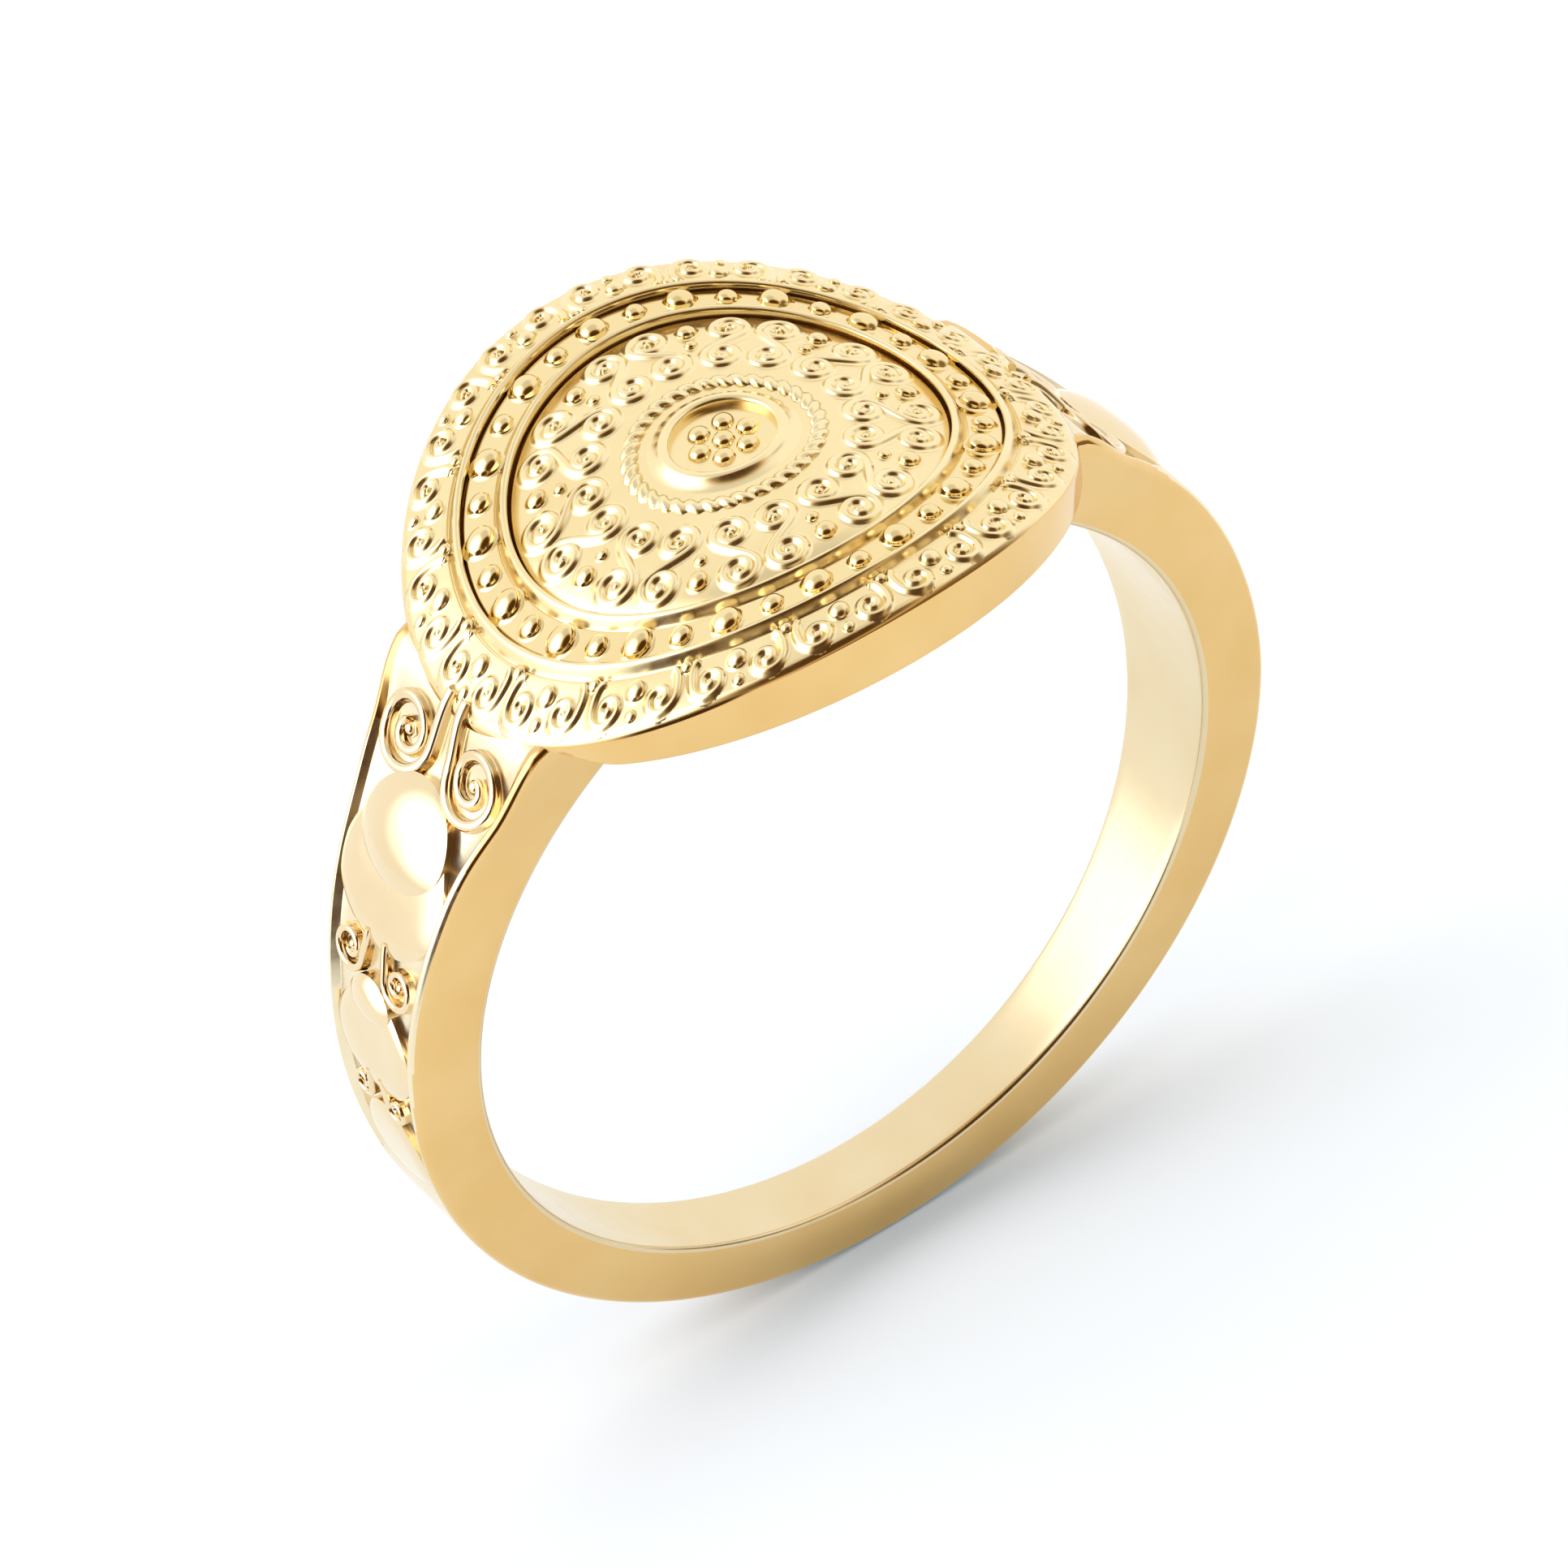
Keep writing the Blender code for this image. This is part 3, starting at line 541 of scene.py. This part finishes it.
def make_band():
    """The tapered band: flat sides, a bore with soft edges, and a sunk panel on each shoulder."""
    half = WIDTH_SIDE / 2
    top = BORE + THICK_SIDE
    floor = top - PANEL_DEPTH
    side = [(BORE, 0), (BORE, half * 0.4), (BORE, half - 0.30)]
    side += arc((BORE + 0.12, half - 0.12), (0.12, 0.12), 180, 90, 6)
    side += [(BORE + 0.7, half), (top - 0.5, half)]
    side += arc((top - 0.18, half - 0.18), (0.18, 0.18), 90, 0, 7)
    side += [(top - 0.01, half - RAIL - 0.01), (floor + 0.02, half - RAIL - 0.06)]
    side += [(floor, half - RAIL - 0.11)]
    side += [(floor, half * 0.6), (floor, half * 0.3)]
    outline = side + [(floor, 0)] + [(radius, -along) for radius, along in reversed(side)]
    band = turned("tapered_band", outline, 288)
    end = panel_angle(11.1)
    for vertex in band.data.vertices:
        angle = atan2(vertex.co.x, vertex.co.y)
        radius, along = hypot(vertex.co.x, vertex.co.y), vertex.co.z
        if abs(along) < half - RAIL and radius > floor - 0.01:
            sunk = (shoulder_radius(angle) - panel_radius(angle)) / PANEL_DEPTH
            radius += (top - radius) * max(1 - sunk, smooth(end - 0.10, end, abs(angle)))
        radius += (shoulder_radius(angle) - top) * smooth(BORE + 0.3, top - 0.25, radius)
        height = radius * cos(angle)
        # The sides lean in below the shoulders and out where they meet the head
        round_from_top = abs(angle)
        lean = smooth(radians(45), radians(58), round_from_top) - smooth(radians(75), radians(95), round_from_top)
        lean *= 0.12
        lean -= 0.18 * (1 - smooth(radians(38), radians(54), round_from_top))
        lean *= smooth(BORE + 0.2, top, hypot(vertex.co.x, vertex.co.y))
        shift = (half_width(height) + 0.05 - lean - half) * min(abs(along) / (half - 0.5), 1)
        vertex.co = (radius * sin(angle), along + (shift if along > 0 else -shift), height)
    only(band)
    bpy.ops.object.mode_set(mode="EDIT")
    bpy.ops.mesh.select_all(action="SELECT")
    bpy.ops.mesh.normals_make_consistent(inside=False)
    bpy.ops.object.mode_set(mode="OBJECT")
    for finish in (band_gold, bore_gold, panel_gold_painted_highlight):
        band.data.materials.append(finish)
    # The bore takes the paler bore tone and the panels the painted highlight tone
    for face in band.data.polygons:
        x, y, z = face.center
        reach, angle = hypot(x, z), abs(atan2(x, z))
        if reach < BORE + 0.12:
            face.material_index = 1
        elif angle < end and reach > panel_radius(angle) - 0.06 and abs(y) < half_width(z) - 0.1:
            face.material_index = 2
    done(band, band_gold, "band", "shank")


def make_volute(side, hand, place, size, wire, top, turns):
    """A spiral wire: its stem comes down beside the middle, turns out under the curl and winds in."""
    curl = spiral(place, size - wire / 2, wire * 0.55, 180, -turns, 52, 1.5)
    start = (curl[0][0] - 0.08, top)
    stem = [start] + bend(start, curl[0], (0, place[1] - top), (0.05, place[1] - top), 8)
    piece = ridge("volute_wire", stem + curl, wire, 0.22, FLAT_WIRE, lambda t: 1 - 0.22 * t)
    eye = bead("volute_eye", wire, (place[0], place[1], 0.04), 16)
    piece = joined("volute", [piece, eye])
    if hand < 0:
        piece.data.transform(Matrix.Scale(-1, 4, (1, 0, 0)))
    return wrapped(piece, side)


def make_petal(top, length, half, height, edge, power, egg):
    """A leaf-shaped boss: a grid shaped to a rounded shield, domed across and along, with steep sides."""
    bpy.ops.object.select_all(action="DESELECT")
    bpy.ops.mesh.primitive_grid_add(x_subdivisions=40, y_subdivisions=40, size=2)
    piece = bpy.context.object
    for vertex in piece.data.vertices:
        u, v = vertex.co.x, vertex.co.y
        disc_u = u * sqrt(1 - v * v / 2)
        disc_v = v * sqrt(1 - u * u / 2)
        reach = min(hypot(disc_u, disc_v), 1)
        rise = edge + (height - edge) * (1 - reach**power)
        vertex.co = (half * disc_u * (1 + egg * disc_v), top + length * (0.5 + 0.5 * disc_v), rise)
    bpy.ops.object.mode_set(mode="EDIT")
    bpy.ops.mesh.select_all(action="SELECT")
    bpy.ops.mesh.extrude_region_move(TRANSFORM_OT_translate={"value": (0, 0, -edge - height - 0.05)})
    bpy.ops.object.mode_set(mode="OBJECT")
    return piece


def make_shoulders():
    """Volutes in pairs that diminish, each over a domed petal and a smooth outer one."""
    volutes = (((1.12, 0.68), 0.92, 0.26, -0.55, 1.65), ((0.84, 5.30), 0.56, 0.20, 4.6, 1.35))
    volutes += (((0.58, 8.50), 0.36, 0.15, 7.9, 1.2),)
    inner_petals = ((1.15, 2.32, 1.33, 0.44), (5.55, 1.02, 0.66, 0.34))
    outer_petals = ((1.55, 3.30, 1.64, 0.20), (5.85, 2.45, 1.24, 0.20), (8.75, 2.20, 0.95, 0.18))
    for side, word in ((-1, "left"), (1, "right")):
        for i, (place, size, wire, top, turns) in enumerate(volutes):
            for hand, where in ((-1, "near"), (1, "far")):
                piece = make_volute(side, hand, place, size, wire, top, turns)
                piece.name = f"{word}_curl_{where}_{i + 1}"
                done(piece, petal_gold, "wire", f"{word}_volute_{where}_{i + 1}")
        for i, (top, length, half, height) in enumerate(inner_petals):
            piece = make_petal(top, length, half, height, 0.18, 2.6, 0.10)
            piece.name = f"{word}_domed_petal_{i + 1}"
            done(wrapped(piece, side), petal_gold, "petal", f"{word}_inner_petal_{i + 1}")
        for i, (top, length, half, height) in enumerate(outer_petals):
            piece = make_petal(top, length, half, height, 0.11, 8.0, 0.16)
            piece.name = f"{word}_smooth_petal_{i + 1}"
            done(wrapped(piece, side), petal_gold, "petal", f"{word}_outer_petal_{i + 1}")


# Where the ring stands, the light and the camera


def heading(azimuth, elevation):
    """The direction that looks so far round from +X towards +Y, and so far up."""
    turn, lift = radians(azimuth), radians(elevation)
    return (cos(turn) * cos(lift), sin(turn) * cos(lift), sin(lift))


def make_floor():
    """A white paper top that keeps the shadow. A cool lift, seen directly or in the metal, evens its white."""
    low = cad_box[0][2]
    bpy.ops.object.select_all(action="DESELECT")
    bpy.ops.mesh.primitive_circle_add(vertices=96, radius=0.045, fill_type="NGON", location=(0, 0, low))
    table = bpy.context.object
    table.name = "table_top"
    bpy.ops.object.transform_apply(location=True)
    made = bpy.data.materials.new("white_paper")
    made.use_nodes = True
    tree = made.node_tree
    tree.nodes.clear()
    path = node(tree, "ShaderNodeLightPath")
    mirrored_too = node(
        tree, "ShaderNodeMath", [(0, path, "Is Camera Ray"), (1, path, "Is Glossy Ray")], operation="ADD")
    seen = node(
        tree, "ShaderNodeMath", [(0, mirrored_too, "Value"), (1, path, "Is Transmission Ray")], operation="ADD")
    lift = node(tree, "ShaderNodeMath", [(0, seen, "Value")], operation="MULTIPLY")
    lift.inputs[1].default_value = 0.14
    glow = node(tree, "ShaderNodeEmission", [("Strength", lift, "Value")], Color=(0, 0.55, 1, 1))
    paper = node(tree, "ShaderNodeBsdfDiffuse", Color=linear("#F3F1EF"))
    both = node(tree, "ShaderNodeAddShader", [(0, paper, "BSDF"), (1, glow, "Emission")])
    node(tree, "ShaderNodeOutputMaterial", [("Surface", both, "Shader")])
    table.data.materials.append(made)


def make_light():
    """A white studio tent: brightest at the left, dark in front where the camera stands and in the left
    corner, with an amber rim round the dark, and brown low at the right."""
    world = bpy.data.worlds.new("white_studio")
    bpy.context.scene.world = world
    world.use_nodes = True
    tree = world.node_tree
    tree.nodes.clear()
    way = node(tree, "ShaderNodeTexCoord")
    axis = node(tree, "ShaderNodeSeparateXYZ", [("Vector", way, "Generated")])
    # Each zone of the tent: the way to its middle, and the cosines where it begins and where it is full
    zones = {}
    for zone, towards, outer, inner in (
            ("front", heading(257, 31), cos(radians(45)), cos(radians(27))),
            ("edge", heading(257, 31), cos(radians(54)), cos(radians(38))),
            ("left", heading(166, 24), cos(radians(44)), cos(radians(16))),
            ("right", heading(296, 0), 0.55, 0.85),
            ("corner", heading(214, -8), cos(radians(26)), cos(radians(14)))):
        nearness = node(tree, "ShaderNodeVectorMath", [(0, way, "Generated")], operation="DOT_PRODUCT")
        nearness.inputs[1].default_value = towards
        zones[zone] = node(
            tree, "ShaderNodeMapRange", [("Value", nearness, "Value")], interpolation_type="SMOOTHSTEP",
            **{"From Min": outer, "From Max": inner})
    low = node(tree, "ShaderNodeMapRange", [("Value", axis, "Z")], interpolation_type="SMOOTHSTEP", **{
        "From Min": 0.50, "From Max": 0.20})
    brown = node(
        tree, "ShaderNodeMath", [(0, zones["right"], "Result"), (1, low, "Result")], operation="MULTIPLY")
    dark = node(
        tree, "ShaderNodeMath", [(0, zones["front"], "Result"), (1, zones["corner"], "Result")],
        operation="MAXIMUM")
    roof = node(tree, "ShaderNodeMapRange", [("Value", axis, "Z")], interpolation_type="SMOOTHSTEP", **{
        "From Min": 0.80, "From Max": 0.97, "To Min": 1.12, "To Max": 0.80})
    tent = node(tree, "ShaderNodeMix", [("Factor", zones["left"], "Result"), (6, roof, "Result")], data_type="RGBA")
    tent.inputs[7].default_value = (2.6, 2.7, 3.0, 1)
    side = node(tree, "ShaderNodeMix", [("Factor", brown, "Value"), (6, tent, 2)], data_type="RGBA")
    side.inputs[7].default_value = (0.26, 0.17, 0.075, 1)
    warm = node(tree, "ShaderNodeMix", [("Factor", zones["edge"], "Result"), (6, side, 2)], data_type="RGBA")
    warm.inputs[7].default_value = (0.90, 0.66, 0.36, 1)
    shade = node(tree, "ShaderNodeMix", [("Factor", dark, "Value"), (6, warm, 2)], data_type="RGBA")
    shade.inputs[7].default_value = (0.085, 0.038, 0.010, 1)
    path = node(tree, "ShaderNodeLightPath")
    # What the gold throws back on the paper is held off, so the shadow stays soft and grey
    thrown = node(
        tree, "ShaderNodeMath", [(0, path, "Diffuse Depth"), (1, path, "Is Glossy Ray")], operation="MULTIPLY")
    kept = node(tree, "ShaderNodeMapRange", [("Value", thrown, "Value")], **{"To Min": 1.0, "To Max": 0.0})
    studio = node(tree, "ShaderNodeBackground", [("Color", shade, 2), ("Strength", kept, "Result")])
    white = node(tree, "ShaderNodeBackground", Color=(1, 1, 1, 1), Strength=1.0)
    pick = node(tree, "ShaderNodeMixShader", [
        (0, path, "Is Camera Ray"), (1, studio, "Background"), (2, white, "Background")])
    node(tree, "ShaderNodeOutputWorld", [("Surface", pick, "Shader")])
    # A very wide soft box over the table evens its light, so the shadow stays close under the hoop
    lamp = bpy.data.lights.new("top_soft_box", "AREA")
    lamp.shape = "DISK"
    lamp.size = 1.2
    lamp.energy = 1.2
    box = bpy.data.objects.new("top_soft_box", lamp)
    bpy.context.collection.objects.link(box)
    box.location = (0.0, 0.0, 0.35)
    box.rotation_euler = (-Vector(box.location)).to_track_quat("-Z", "Y").to_euler()
    box.visible_glossy = False


def make_camera():
    """The photograph's view: from the front left, well above, with the frame tilted a little."""
    turn, lift, roll = radians(-26.69), radians(42.47), radians(-11.62)
    back = Vector((sin(turn) * cos(lift), -cos(turn) * cos(lift), sin(lift)))
    level = Vector((cos(turn), sin(turn), 0))
    upright = back.cross(level)
    right = cos(roll) * level + sin(roll) * upright
    up = cos(roll) * upright - sin(roll) * level
    place = (204.9 * back - 0.468 * right + 1.334 * up) * MM
    lens = bpy.data.cameras.new("view")
    lens.sensor_width = 36
    lens.lens = 239.6
    lens.clip_start = 0.01
    lens.clip_end = 20
    camera = bpy.data.objects.new("view", lens)
    bpy.context.collection.objects.link(camera)
    camera.matrix_world = Matrix((
        (right.x, up.x, back.x, place.x), (right.y, up.y, back.y, place.y), (right.z, up.z, back.z, place.z),
        (0, 0, 0, 1)))
    bpy.context.scene.camera = camera


make_camera()
make_light()
make_floor()
make_plate()
make_rim("outer_rim", OUTER_RIM, "outer_rim_wire")
make_rim("inner_rim", INNER_RIM, "inner_rim_wire")
make_bead_channel()
make_border()
make_field()
make_centre()
make_band()
make_shoulders()
bpy.context.scene.view_settings.view_transform = "Standard"
